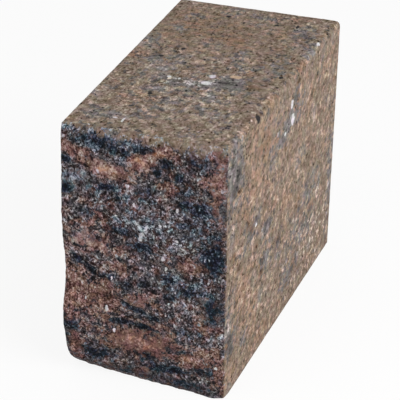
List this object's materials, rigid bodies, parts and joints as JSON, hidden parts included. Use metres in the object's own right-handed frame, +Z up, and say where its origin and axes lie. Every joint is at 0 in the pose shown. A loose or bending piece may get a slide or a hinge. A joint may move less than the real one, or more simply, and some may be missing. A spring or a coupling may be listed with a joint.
{
  "type": "wall end block",
  "caption": "Cast concrete block that ends a garden wall, with a split rough front and a plan that widens to the back.",
  "frame": {"origin": "middle of the bottom bed: half the front width across and half the depth back from the split line", "axes": "+Z up, -Y out of the split front, +Y back into the wall, +X towards the flared side"},
  "size_m": [0.099, 0.186, 0.152],
  "materials": {
    "concrete": "matt cast concrete, smooth moulded sides and a rough split front"
  },
  "bodies": {
    "root": {"wall_end_block": "concrete"}
  },
  "joints": []
}
